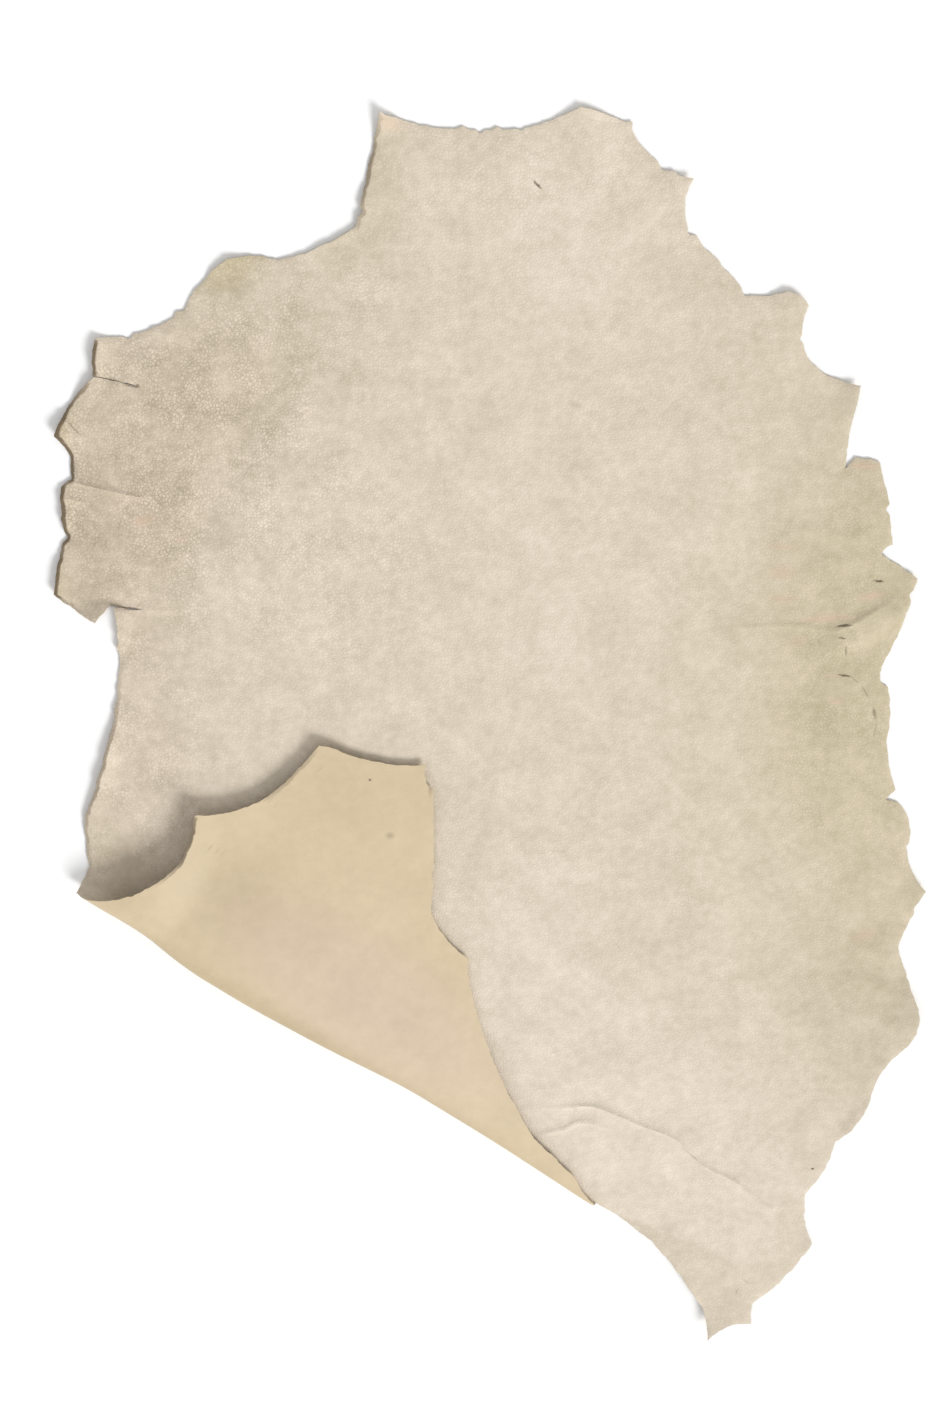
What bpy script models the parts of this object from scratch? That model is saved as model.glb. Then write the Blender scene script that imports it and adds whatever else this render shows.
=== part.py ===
"""A whole suede goatskin lying on a flat surface, its lower left corner folded over.

The skin is one sheet of leather, suede side up, cut round the animal's natural
edge. The script draws that cut edge on the flat, fills it with a triangle net, rolls
the lower left corner over a fold that tightens from left to right, lifts the edge
where it stands off the surface, and gives the sheet its thickness.

Tables are in millimetres, seen from above: x to the right, y towards the neck, and
(0, 0) at the middle of the skin. The mesh is in metres, its underside at z = 0.
"""
import math
from collections import namedtuple

import bpy
import numpy as np
from mathutils import Vector, noise
from mathutils.geometry import delaunay_2d_cdt

MM = 0.001
SKIN_THICKNESS = 1.2
EDGE_STEP = 7.0
NET_PITCH = 14.0
NET_TO_EDGE = 4.2
NET_TO_EDGE_ON_ROLL = 2.1
MERGE_DISTANCE = 0.0001
EDGE_UNEVENNESS = 0.9
UNEVENNESS_LENGTH = 11.0

# Each row is one stretch of the cut edge, clockwise, from its corner to the next
# row's corner. The bow is how far the stretch swells out, or in where it is minus.
CutStretch = namedtuple("CutStretch", "name x y bow")

BODY_EDGE = (
    CutStretch("neck, left tip", -73, 426, -5),
    CutStretch("neck edge", 13, 417, -2),
    CutStretch("neck point", 49, 430, 1),
    CutStretch("neck, right slope", 79, 419, -3),
    CutStretch("cheek hollow", 105, 391, -1),
    CutStretch("cheek tip", 119, 387, -4),
    CutStretch("right neck side", 117, 354, 1),
    CutStretch("right shoulder bay", 154, 316, -2),
    CutStretch("right shoulder", 179, 318, 2),
    CutStretch("right armpit, upper", 193, 309, -4),
    CutStretch("right armpit", 194, 276, -4),
    CutStretch("foreleg tip", 228, 259, -1),
    CutStretch("foreleg notch", 221, 205, 0),
    CutStretch("foreleg step", 227, 212, 1),
    CutStretch("right chest", 243, 209, 1),
    CutStretch("chest hollow", 254, 155, -1),
    CutStretch("chest notch", 247, 149, 0),
    CutStretch("chest lobe", 271, 133, 2),
    CutStretch("right waist", 251, 73, -1),
    CutStretch("waist step, upper", 251, 63, 0),
    CutStretch("waist step, lower", 256, 59, 2),
    CutStretch("right flank", 257, 21, -1),
    CutStretch("flank nick, upper", 265, -13, 0),
    CutStretch("flank nick", 259, -20, 0),
    CutStretch("flank nick, lower", 267, -22, 5),
    CutStretch("flank hollow", 275, -56, -3),
    CutStretch("flank point", 289, -85, -1),
    CutStretch("thigh hollow", 273, -127, -1),
    CutStretch("thigh", 289, -172, 5),
    CutStretch("thigh, lower", 279, -206, -4),
    CutStretch("hind leg stub", 260, -243, 3),
    CutStretch("hind leg, inner", 237, -275, 3),
    CutStretch("rump hollow", 218, -316, -3),
    CutStretch("rump", 224, -355, 4),
    CutStretch("tail root, right", 184, -404, -1),
    CutStretch("tail corner, right", 183, -420, -4),
    CutStretch("tail corner, left", 151, -430, -3),
    CutStretch("tail root, left", 143, -400, -8),
)
# The folded corner's edge, as it is seen lying on the body.
FLAP_EDGE = (
    CutStretch("end of the fold", 69, -323, 1),
    CutStretch("flap end", 54, -300, 0),
    CutStretch("flap, lower", 26, -270, 4),
    CutStretch("flap, right side", -16, -166, 1),
    CutStretch("flap step", -21, -133, 3),
    CutStretch("flap waist", -45, -100, -1),
    CutStretch("flap, inner corner", -43, -12, 3),
    CutStretch("flap, upper right", -48, 6, 3),
    CutStretch("flap, upper edge", -101, 15, -1),
    CutStretch("flap tip", -118, 21, 0),
    CutStretch("flap, upper left", -137, -1, 3),
    CutStretch("flap, left shoulder", -174, -24, 1),
    CutStretch("flap, left corner", -201, -26, 2),
    CutStretch("flap, left side", -213, -60, 9),
)
LEFT_EDGE = (
    CutStretch("fold corner", -284, -85, 0),
    CutStretch("corner hollow", -275, -68, 1),
    CutStretch("left flank, low", -276, -31, -1),
    CutStretch("left flank", -260, 15, -3),
    CutStretch("left nick", -248, 88, -1),
    CutStretch("left slit, lower lip", -250, 110, 0),
    CutStretch("left slit, end", -232, 112, 0),
    CutStretch("left slit, upper lip", -253, 114, 0),
    CutStretch("left lobe, under", -262, 104, 2),
    CutStretch("left lobe", -288, 123, 1),
    CutStretch("left waist", -279, 161, 1),
    CutStretch("left chest", -280, 193, 1),
    CutStretch("chest nick, lower", -273, 198, 0),
    CutStretch("chest nick, upper", -273, 212, -1),
    CutStretch("left foreleg", -282, 227, 4),
    CutStretch("foreleg slit, lower", -255, 261, 0),
    CutStretch("foreleg slit, end", -229, 258, 0),
    CutStretch("foreleg slit, upper", -256, 265, 1),
    CutStretch("shoulder tab", -253, 289, -5),
    CutStretch("left shoulder", -197, 306, 3),
    CutStretch("shoulder point", -169, 338, 2),
    CutStretch("left neck side", -138, 337, -3),
    CutStretch("neck root, left", -89, 358, 0),
)

# The fold runs from the left corner to the root of the tail. Each row says how far in
# from that line the roll starts, and its radius, which tightens along the fold. Past
# the fold's end the edge of the tail is only curled up a little.
FOLD_LEFT = Vector((-284.0, -85.0))
FOLD_RIGHT = Vector((72.0, -329.0))
FOLD_START = -21.0
FOLD_END = 425.0
FoldStation = namedtuple("FoldStation", "along radius start flap_height")
FOLD = (
    FoldStation(-40, 8.0, 9.0, 16.0),
    FoldStation(0, 8.0, 9.0, 16.0),
    FoldStation(45, 8.0, 11.0, 12.0),
    FoldStation(90, 7.6, 3.5, 7.0),
    FoldStation(140, 7.0, 3.0, 5.0),
    FoldStation(200, 6.0, 5.0, 4.6),
    FoldStation(265, 4.6, 9.4, 4.4),
    FoldStation(340, 3.2, 7.4, 4.2),
    FoldStation(385, 2.7, 5.4, 4.2),
    FoldStation(FOLD_END, 2.4, 3.8, 4.2),
    FoldStation(444, 2.4, 4.4, 4.2),
    FoldStation(475, 60.0, 12.0, 4.2),
    FoldStation(505, 140.0, 17.0, 4.2),
    FoldStation(560, 220.0, 20.0, 4.2),
)
FOLD_SPREAD = (-14.0, -7.0, 0.0, 7.0, 14.0)
FLAP_SETTLES_OVER = 90.0
ROLL_STEPS = 8
ROLL_MARGIN = 5.0
ROLL_REACH = 20.0

# Where the sheet stands off the surface or, on the flap, off the body under it. Each
# swell is an oval, turned by its angle, that dies out to nothing at its rim.
Swell = namedtuple("Swell", "name layer x y length width turn height")
SWELLS = (
    Swell("neck tip curl", "body", -80, 428, 46, 40, 20, 7),
    Swell("neck point lift", "body", 52, 440, 90, 44, 0, 4),
    Swell("cheek lift", "body", 128, 392, 60, 50, 0, 4),
    Swell("shoulder lift", "body", 196, 322, 70, 52, 0, 4),
    Swell("foreleg curl", "body", 240, 250, 80, 54, -60, 5),
    Swell("chest lobe lift", "body", 284, 142, 76, 50, 70, 4),
    Swell("right side wrinkle", "body", 244, 102, 120, 30, 28, 2.5),
    Swell("flank point lift", "body", 298, -80, 70, 50, 90, 4),
    Swell("thigh wave", "body", 300, -172, 76, 62, 80, 5),
    Swell("hind leg lift", "body", 262, -268, 80, 52, 50, 4),
    Swell("rump wave", "body", 238, -350, 80, 50, 75, 4),
    Swell("tail curl", "body", 168, -440, 80, 50, 0, 5),
    Swell("left flank lift", "body", -272, 20, 150, 52, 82, 7),
    Swell("slit lip lift", "body", -262, 96, 50, 44, 0, 8),
    Swell("left lobe lift", "body", -300, 130, 80, 54, 80, 8),
    Swell("left waist wave", "body", -292, 178, 56, 46, 90, 7),
    Swell("left foreleg curl", "body", -292, 226, 62, 50, 60, 8),
    Swell("shoulder tab lift", "body", -266, 278, 60, 50, 90, 8),
    Swell("shoulder point lift", "body", -178, 348, 70, 46, 20, 5),
    Swell("neck root wave", "body", -104, 362, 90, 40, 30, 4),
    Swell("open side of the flap", "flap", -236, -64, 150, 90, 55, 7),
    Swell("flap tip lift", "flap", -112, 34, 90, 56, 0, 1),
    Swell("flap crown", "flap", -120, -110, 210, 90, -34, 2),
)

Layout = namedtuple("Layout", "x y height")


def fold_directions():
    """Unit vectors along the fold and, square to it, over the body."""
    along = (FOLD_RIGHT - FOLD_LEFT).normalized()
    return along, Vector((-along.y, along.x))


def to_fold(x, y):
    """How far along the fold a point is, and how far in over the body."""
    along, inward = fold_directions()
    dx, dy = x - FOLD_LEFT.x, y - FOLD_LEFT.y
    return dx * along.x + dy * along.y, dx * inward.x + dy * inward.y


def from_fold(distance, inset):
    along, inward = fold_directions()
    return (FOLD_LEFT.x + distance * along.x + inset * inward.x,
            FOLD_LEFT.y + distance * along.y + inset * inward.y)


def fold_value(column, distance):
    """One column of the fold's table at a distance along it, eased at its rows."""
    places = [row.along for row in FOLD]
    values = [getattr(row, column) for row in FOLD]
    near = [np.interp(distance + shift, places, values) for shift in FOLD_SPREAD]
    return sum(near) / len(near)


def unfold(x, y):
    """The flat cut place of a point that is seen lying on the folded flap."""
    distance, inset = to_fold(x, y)
    radius, start = fold_value("radius", distance), fold_value("start", distance)
    if inset < start:
        back = min(1.0, (start - inset) / radius)
        rolled = radius * (math.pi - math.asin(back))
    else:
        rolled = math.pi * radius + inset - start
    return from_fold(distance, start - rolled)


def stretch_points(row, corner):
    """Points of one stretch of edge, from its own corner up to the next one."""
    begin, end = Vector((row.x, row.y)), Vector((corner.x, corner.y))
    span = end - begin
    outward = Vector((-span.y, span.x)).normalized()
    steps = max(1, round(span.length / EDGE_STEP))
    for step in range(steps):
        part = step / steps
        place = begin + span * part
        swell = 4.0 * part * (1.0 - part)
        grain = Vector((place.x, place.y, 0.0)) / UNEVENNESS_LENGTH
        uneven = EDGE_UNEVENNESS * noise.noise(grain) * math.sqrt(swell)
        yield place + outward * (row.bow * swell + uneven)


def edge_points(rows, next_corner):
    corners = list(rows[1:]) + [next_corner]
    return [point for row, corner in zip(rows, corners)
            for point in stretch_points(row, corner)]


def cut_outline():
    """The closed cut edge of the flat skin, before it is folded."""
    right = edge_points(BODY_EDGE, FLAP_EDGE[0])
    flap = [Vector(unfold(point.x, point.y))
            for point in edge_points(FLAP_EDGE, LEFT_EDGE[0])]
    left = edge_points(LEFT_EDGE, BODY_EDGE[0])
    roll = fold_value("radius", 0.0)
    corner = Vector(from_fold(0.0, roll * (1.0 - math.pi / 2.0)))
    return right + flap + [corner] + left[1:]


def inside(outline, x, y):
    """Which of the places lie inside the outline, by counting crossings."""
    count = np.zeros(len(x), dtype=bool)
    for a, b in zip(outline, outline[1:] + outline[:1]):
        if a.y == b.y:
            continue
        spans = (a.y > y) != (b.y > y)
        crossing = a.x + (y - a.y) * (b.x - a.x) / (b.y - a.y)
        count ^= spans & (x < crossing)
    return count


def clear_of(outline, x, y, gap):
    """Which of the places are at least the gap away from the outline."""
    near = np.full(len(x), np.inf)
    for a, b in zip(outline, outline[1:] + outline[:1]):
        span = b - a
        along = ((x - a.x) * span.x + (y - a.y) * span.y) / span.length_squared
        along = np.clip(along, 0.0, 1.0)
        away = np.hypot(x - a.x - along * span.x, y - a.y - along * span.y)
        near = np.minimum(near, away)
    return near >= gap


def net_points(outline):
    """Places inside the edge: an even net, and rows that follow the fold's roll."""
    low_x, high_x = min(p.x for p in outline), max(p.x for p in outline)
    low_y, high_y = min(p.y for p in outline), max(p.y for p in outline)
    row_height = NET_PITCH * math.sqrt(0.75)
    net = []
    for row in range(int((high_y - low_y) / row_height) + 1):
        shift = NET_PITCH / 2.0 if row % 2 else 0.0
        for column in range(int((high_x - low_x) / NET_PITCH) + 1):
            x = low_x + shift + column * NET_PITCH
            y = low_y + row * row_height
            distance, inset = to_fold(x, y)
            radius, start = fold_value("radius", distance), fold_value("start", distance)
            roll_end = start - math.pi * radius
            across_roll = roll_end - 2.0 * ROLL_MARGIN < inset < start + 2.0 * ROLL_MARGIN
            if not (across_roll and distance < FOLD_END + ROLL_MARGIN):
                net.append((x, y))
    for distance in np.arange(FOLD_START, FOLD_END, EDGE_STEP):
        radius, start = fold_value("radius", distance), fold_value("start", distance)
        rolled = [math.pi * radius * step / ROLL_STEPS for step in range(ROLL_STEPS + 1)]
        for turn in [-ROLL_MARGIN] + rolled + [rolled[-1] + ROLL_MARGIN]:
            net.append(from_fold(distance, start - turn))
    x, y = np.array(net).T
    kept = inside(outline, x, y)
    x, y = x[kept], y[kept]
    distance, inset = to_fold(x, y)
    gap = np.where(np.abs(inset) < ROLL_REACH, NET_TO_EDGE_ON_ROLL, NET_TO_EDGE)
    kept = clear_of(outline, x, y, gap)
    return [Vector(place) for place in zip(x[kept], y[kept])]


def swell_height(layer, x, y):
    """How far the swells of one layer lift the sheet at a place."""
    height = 0.0
    for swell in SWELLS:
        if swell.layer != layer:
            continue
        turn = math.radians(swell.turn)
        dx, dy = x - swell.x, y - swell.y
        along = (dx * math.cos(turn) + dy * math.sin(turn)) / (swell.length / 2.0)
        across = (dy * math.cos(turn) - dx * math.sin(turn)) / (swell.width / 2.0)
        height += swell.height * max(0.0, 1.0 - along ** 2 - across ** 2) ** 2
    return height


def lay(x, y):
    """Where a place on the flat skin ends up once the corner is folded over."""
    distance, inset = to_fold(x, y)
    radius, start = fold_value("radius", distance), fold_value("start", distance)
    rolled = start - inset
    if rolled <= 0.0:
        return Layout(x, y, swell_height("body", x, y))
    turn = rolled / radius
    if turn < math.pi:
        place = from_fold(distance, start - radius * math.sin(turn))
        share = 1.0 - turn / math.pi
        lift = swell_height("body", *place) * share
        lift += swell_height("flap", *place) * (1.0 - share)
        return Layout(*place, radius * (1.0 - math.cos(turn)) + lift)
    beyond = rolled - math.pi * radius
    place = from_fold(distance, start + beyond)
    settled = min(1.0, beyond / FLAP_SETTLES_OVER)
    settled = settled * settled * (3.0 - 2.0 * settled)
    flap_height = fold_value("flap_height", distance)
    height = 2.0 * radius + (flap_height - 2.0 * radius) * settled
    return Layout(*place, height + swell_height("flap", *place))


def leather(name, colour, roughness):
    material = bpy.data.materials.new(name)
    material.use_nodes = True
    shader = material.node_tree.nodes["Principled BSDF"]
    shader.inputs["Base Color"].default_value = (*colour, 1.0)
    shader.inputs["Roughness"].default_value = roughness
    shader.inputs["Metallic"].default_value = 0.0
    return material


def goatskin():
    """The skin as one sheet, drawn where its grain side lies and then given its body."""
    outline = cut_outline()
    places = outline + net_points(outline)
    edges = [(index, (index + 1) % len(outline)) for index in range(len(outline))]
    inside_only = 1
    flat, _, faces, *_ = delaunay_2d_cdt(places, edges, [], inside_only, MERGE_DISTANCE)
    laid = [lay(place.x, place.y) for place in flat]
    middle_x = (min(p.x for p in laid) + max(p.x for p in laid)) / 2.0
    middle_y = (min(p.y for p in laid) + max(p.y for p in laid)) / 2.0
    points = [((p.x - middle_x) * MM, (p.y - middle_y) * MM, p.height * MM) for p in laid]
    mesh = bpy.data.meshes.new("goatskin")
    mesh.from_pydata(points, [], faces)
    mesh.shade_smooth()
    skin = bpy.data.objects.new("goatskin", mesh)
    skin.data.materials.append(leather("suede_side", (0.72, 0.63, 0.50), 0.95))
    skin.data.materials.append(leather("grain_side", (0.67, 0.54, 0.36), 0.5))
    body = skin.modifiers.new("Leather", "SOLIDIFY")
    body.thickness = SKIN_THICKNESS * MM
    body.offset = 1.0
    body.use_even_offset = True
    body.material_offset = 1
    return skin


def main():
    for thing in list(bpy.data.objects):
        bpy.data.objects.remove(thing, do_unlink=True)
    collection = bpy.data.collections.new("suede_goatskin")
    bpy.context.scene.collection.children.link(collection)
    collection.objects.link(goatskin())


main()
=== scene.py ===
import math
from collections import namedtuple

import bpy
import numpy as np
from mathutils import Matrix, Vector, kdtree, noise
from mathutils.geometry import delaunay_2d_cdt


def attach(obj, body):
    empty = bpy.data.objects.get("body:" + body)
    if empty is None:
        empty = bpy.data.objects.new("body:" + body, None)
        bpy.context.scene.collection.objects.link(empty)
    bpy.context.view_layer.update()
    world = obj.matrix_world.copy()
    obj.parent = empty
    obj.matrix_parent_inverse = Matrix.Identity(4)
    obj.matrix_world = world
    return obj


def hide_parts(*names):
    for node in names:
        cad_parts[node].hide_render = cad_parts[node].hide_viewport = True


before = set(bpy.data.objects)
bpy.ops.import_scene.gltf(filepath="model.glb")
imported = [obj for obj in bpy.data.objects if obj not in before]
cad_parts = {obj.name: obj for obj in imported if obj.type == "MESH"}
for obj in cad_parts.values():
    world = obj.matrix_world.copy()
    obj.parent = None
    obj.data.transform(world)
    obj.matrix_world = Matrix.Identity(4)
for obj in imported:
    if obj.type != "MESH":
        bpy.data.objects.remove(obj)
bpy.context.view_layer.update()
MM = 0.001

# The viewpoint: a camera over the neck end, tipped back towards the tail, above a white
# table that is lit by one wide soft light from the lower right and by the pale room.
CAMERA_PLACE = (-0.0165, 0.5335, 1.5047)
CAMERA_TILT = math.radians(-18.1)
FRAME_HEIGHT = 24.0
LENS = 40.5
TABLE_HALF = 4.0
TABLE_DROP = 0.0006
TABLE_COLOUR = (0.93, 0.93, 0.93)
LIGHT_FROM = (0.75, -0.85, 0.85)
LIGHT_SOFTNESS = math.radians(24.0)
LIGHT_STRENGTH = 2.45
ROOM_BRIGHTNESS = 0.68


def set_camera():
    camera = bpy.data.objects.new("camera", bpy.data.cameras.new("camera"))
    camera.data.sensor_fit = "VERTICAL"
    camera.data.sensor_height = FRAME_HEIGHT
    camera.data.lens = LENS
    camera.location = CAMERA_PLACE
    camera.rotation_euler = (CAMERA_TILT, 0.0, 0.0)
    bpy.context.scene.collection.objects.link(camera)
    bpy.context.scene.camera = camera


def lay_table():
    mesh = bpy.data.meshes.new("table_top")
    far = TABLE_HALF
    corners = [(-far, -far), (far, -far), (far, far), (-far, far)]
    mesh.from_pydata([(x, y, -TABLE_DROP) for x, y in corners], [], [(0, 1, 2, 3)])
    table = bpy.data.objects.new("table_top", mesh)
    paint = bpy.data.materials.new("table_paint")
    paint.use_nodes = True
    shader = paint.node_tree.nodes["Principled BSDF"]
    shader.inputs["Base Color"].default_value = (*TABLE_COLOUR, 1.0)
    shader.inputs["Roughness"].default_value = 0.9
    mesh.materials.append(paint)
    bpy.context.scene.collection.objects.link(table)


def light_the_table():
    lamp = bpy.data.lights.new("soft_light", "SUN")
    lamp.angle = LIGHT_SOFTNESS
    lamp.energy = LIGHT_STRENGTH
    light = bpy.data.objects.new("soft_light", lamp)
    light.rotation_euler = Vector(LIGHT_FROM).to_track_quat("Z", "Y").to_euler()
    bpy.context.scene.collection.objects.link(light)
    room = bpy.data.worlds.new("pale_room")
    room.use_nodes = True
    backdrop = room.node_tree.nodes["Background"]
    backdrop.inputs["Color"].default_value = (1.0, 1.0, 1.0, 1.0)
    backdrop.inputs["Strength"].default_value = ROOM_BRIGHTNESS
    bpy.context.scene.world = room
    bpy.context.scene.view_settings.view_transform = "Standard"


set_camera()
lay_table()
light_the_table()

# The skin: one whole goatskin, tanned and split to a little over a millimetre, buffed to
# a short nap on its flesh side and left smooth on its grain side. It is cut round the
# animal's edge and lies nap side up, with its lower left corner folded over.
# All its tables are in millimetres, x to the right and y towards the neck.
SKIN_THICKNESS = 1.2
EDGE_THINNING = 0.7
THINS_OVER = 16.0
EDGE_ROUNDING = 0.35
ROUNDS_OVER = 1.2
EDGE_STEP = 1.2
EDGE_ROW = 1.5
NET_PITCH = 3.4
NET_TO_ROWS = 1.3
MERGE_DISTANCE = 0.0001
SHARP_FROM = math.radians(50.0)
LAID_MIDDLE = (0.54, 0.31)
# How far the cut edge wanders, and over what length: the knife's sway, then its nibbles.
EDGE_WANDER = ((0.9, 11.0), (0.7, 4.6), (0.3, 2.1))

# Each row is one stretch of the cut edge, clockwise, from its corner to the next
# row's corner. The bow is how far the stretch swells out, or in where it is minus.
CutStretch = namedtuple("CutStretch", "name x y bow")

BODY_EDGE = (
    CutStretch("neck, left tip", -73, 426, -5),
    CutStretch("neck edge", 13, 417, -2),
    CutStretch("neck point", 49, 430, 1),
    CutStretch("neck, right slope", 79, 419, -3),
    CutStretch("cheek hollow", 105, 391, -1),
    CutStretch("cheek tip", 119, 387, -4),
    CutStretch("right neck side", 117, 354, 1),
    CutStretch("right shoulder bay", 154, 316, -2),
    CutStretch("right shoulder", 179, 318, 2),
    CutStretch("right armpit, upper", 193, 309, -4),
    CutStretch("right armpit", 194, 276, -4),
    CutStretch("foreleg tip", 228, 259, -1),
    CutStretch("foreleg notch", 221, 205, 0),
    CutStretch("foreleg step", 227, 212, 1),
    CutStretch("right chest", 243, 209, 1),
    CutStretch("chest hollow", 254, 155, -1),
    CutStretch("chest notch", 247, 149, 0),
    CutStretch("chest lobe", 271, 133, 2),
    CutStretch("right waist", 251, 73, -1),
    CutStretch("waist step, upper", 251, 63, 0),
    CutStretch("waist step, lower", 256, 59, 2),
    CutStretch("right flank", 257, 21, -1),
    CutStretch("flank nick, upper", 265, -13, 0),
    CutStretch("flank nick", 259, -20, 0),
    CutStretch("flank nick, lower", 267, -22, 5),
    CutStretch("flank hollow", 275, -56, -3),
    CutStretch("flank point", 289, -85, -1),
    CutStretch("thigh hollow", 273, -127, -1),
    CutStretch("thigh", 289, -172, 5),
    CutStretch("thigh, lower", 279, -206, -4),
    CutStretch("hind leg stub", 260, -243, 3),
    CutStretch("hind leg, inner", 237, -275, 3),
    CutStretch("rump hollow", 218, -316, -3),
    CutStretch("rump", 224, -355, 4),
    CutStretch("tail root, right", 184, -404, -1),
    CutStretch("tail corner, right", 183, -420, -4),
    CutStretch("tail corner, left", 151, -430, -3),
    CutStretch("tail root, left", 143, -400, -8),
)
# The folded corner's edge, as it is seen lying on the body.
FLAP_EDGE = (
    CutStretch("end of the fold", 69, -323, 1),
    CutStretch("flap end", 54, -300, 0),
    CutStretch("flap, lower", 26, -270, 4),
    CutStretch("flap, right side", -16, -166, 1),
    CutStretch("flap step", -21, -133, 3),
    CutStretch("flap waist", -45, -100, -1),
    CutStretch("flap, inner corner", -43, -12, 3),
    CutStretch("flap, upper right", -48, 6, 3),
    CutStretch("flap, upper edge", -101, 15, -1),
    CutStretch("flap tip", -118, 21, 0),
    CutStretch("flap, upper left", -137, -1, 3),
    CutStretch("flap, left shoulder", -174, -24, 1),
    CutStretch("flap, left corner", -201, -26, 2),
    CutStretch("flap, left side", -213, -60, 9),
)
LEFT_EDGE = (
    CutStretch("fold corner", -284, -85, 0),
    CutStretch("corner hollow", -275, -68, 1),
    CutStretch("left flank, low", -276, -31, -1),
    CutStretch("left flank", -260, 15, -3),
    CutStretch("left nick", -248, 88, -1),
    CutStretch("left slit, lower lip", -250, 110, 0),
    CutStretch("left slit, end", -232, 112, 0),
    CutStretch("left slit, upper lip", -253, 114, 0),
    CutStretch("left lobe, under", -262, 104, 2),
    CutStretch("left lobe", -288, 123, 1),
    CutStretch("left waist", -279, 161, 1),
    CutStretch("left chest", -280, 193, 1),
    CutStretch("chest nick, lower", -273, 198, 0),
    CutStretch("chest nick, upper", -273, 212, -1),
    CutStretch("left foreleg", -282, 227, 4),
    CutStretch("foreleg slit, lower", -255, 261, 0),
    CutStretch("foreleg slit, end", -229, 258, 0),
    CutStretch("foreleg slit, upper", -256, 265, 1),
    CutStretch("shoulder tab", -253, 289, -5),
    CutStretch("left shoulder", -197, 306, 3),
    CutStretch("shoulder point", -169, 338, 2),
    CutStretch("left neck side", -138, 337, -3),
    CutStretch("neck root, left", -89, 358, 0),
)

# Small bites out of the cut edge (minus) and crumbs that stand out from it (plus).
Nick = namedtuple("Nick", "name x y width depth")
NICKS = (
    Nick("neck tip hook", -74, 427, 7, 2.5),
    Nick("neck crumb, left", -23, 416, 9, 3.0),
    Nick("neck bite", -12, 415, 5, -1.8),
    Nick("neck crumb, middle", -2, 416, 8, 2.2),
    Nick("neck bite, right", 13, 416, 6, -2.0),
    Nick("slope tip", 79, 419, 6, 2.5),
    Nick("cheek bite", 101, 394, 9, -2.0),
    Nick("cheek crumb", 107, 391, 5, 2.0),
    Nick("neck side step", 115, 352, 8, -3.0),
    Nick("neck side crumb", 121, 350, 7, 2.0),
    Nick("bay bite", 154, 317, 8, -1.8),
    Nick("shoulder crumb", 168, 319, 10, 1.6),
    Nick("armpit bite", 190, 288, 6, -2.4),
    Nick("foreleg bite", 219, 217, 6, -2.0),
    Nick("chest crumb", 250, 183, 6, 1.4),
    Nick("chest bite", 250, 178, 5, -1.4),
    Nick("side bite", 267, 122, 7, -2.4),
    Nick("waist crumb", 257, 82, 8, 1.6),
    Nick("flank lip", 263, -24, 6, 2.0),
    Nick("hip bite", 276, -54, 5, -1.8),
    Nick("flank crumb", 282, -98, 8, -1.4),
    Nick("thigh bite", 272, -133, 7, -1.8),
    Nick("thigh crumb", 277, -150, 6, 1.6),
    Nick("stub bite", 268, -226, 7, -1.5),
    Nick("rump crumb", 216, -330, 7, 1.4),
    Nick("tail bite", 166, -425, 7, -1.8),
    Nick("tail crumb", 147, -412, 6, 1.4),
    Nick("side step", -250, 86, 7, 2.6),
    Nick("lobe bite", -279, 160, 7, -1.6),
    Nick("nub", -277, 214, 6, 2.6),
    Nick("foreleg bite, left", -268, 246, 6, -1.4),
    Nick("tab nick", -233, 289, 9, -2.6),
    Nick("shoulder slit", -208, 295, 5, -7.0),
    Nick("shoulder crumb, left", -201, 303, 7, 2.0),
    Nick("neck root bite", -86, 367, 7, -3.4),
    Nick("neck root crumb", -92, 362, 7, 2.0),
    Nick("neck root crumb, low", -100, 355, 7, 1.8),
    Nick("flap step bite", -22, -136, 7, -2.0),
    Nick("flap corner bite", -46, -4, 6, -1.8),
)

# The fold runs from the left corner to the root of the tail. Each row says how far in
# from that line the roll starts, its radius, and the height that the flap settles to.
FOLD_LEFT = Vector((-284.0, -85.0))
FOLD_RIGHT = Vector((72.0, -329.0))
FOLD_START = -21.0
FOLD_END = 425.0
FoldStation = namedtuple("FoldStation", "along radius start flap_height")
FOLD = (
    FoldStation(-40, 8.0, 9.0, 16.0),
    FoldStation(0, 8.0, 9.0, 16.0),
    FoldStation(45, 8.0, 11.0, 12.0),
    FoldStation(90, 7.6, 3.5, 7.0),
    FoldStation(140, 7.0, 3.0, 5.0),
    FoldStation(200, 6.0, 5.0, 4.6),
    FoldStation(265, 4.6, 9.4, 4.4),
    FoldStation(340, 3.2, 7.4, 4.2),
    FoldStation(385, 2.7, 5.4, 4.2),
    FoldStation(FOLD_END, 2.4, 3.8, 4.2),
    FoldStation(444, 2.4, 4.4, 4.2),
    FoldStation(475, 60.0, 12.0, 4.2),
    FoldStation(505, 140.0, 17.0, 4.2),
    FoldStation(560, 220.0, 20.0, 4.2),
)
FOLD_SPREAD = (-14.0, -7.0, 0.0, 7.0, 14.0)
FLAP_SETTLES_OVER = 90.0
ROLL_STEPS = 12
ROLL_ROW_PITCH = 2.6
ROLL_MARGIN = 2.4

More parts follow.
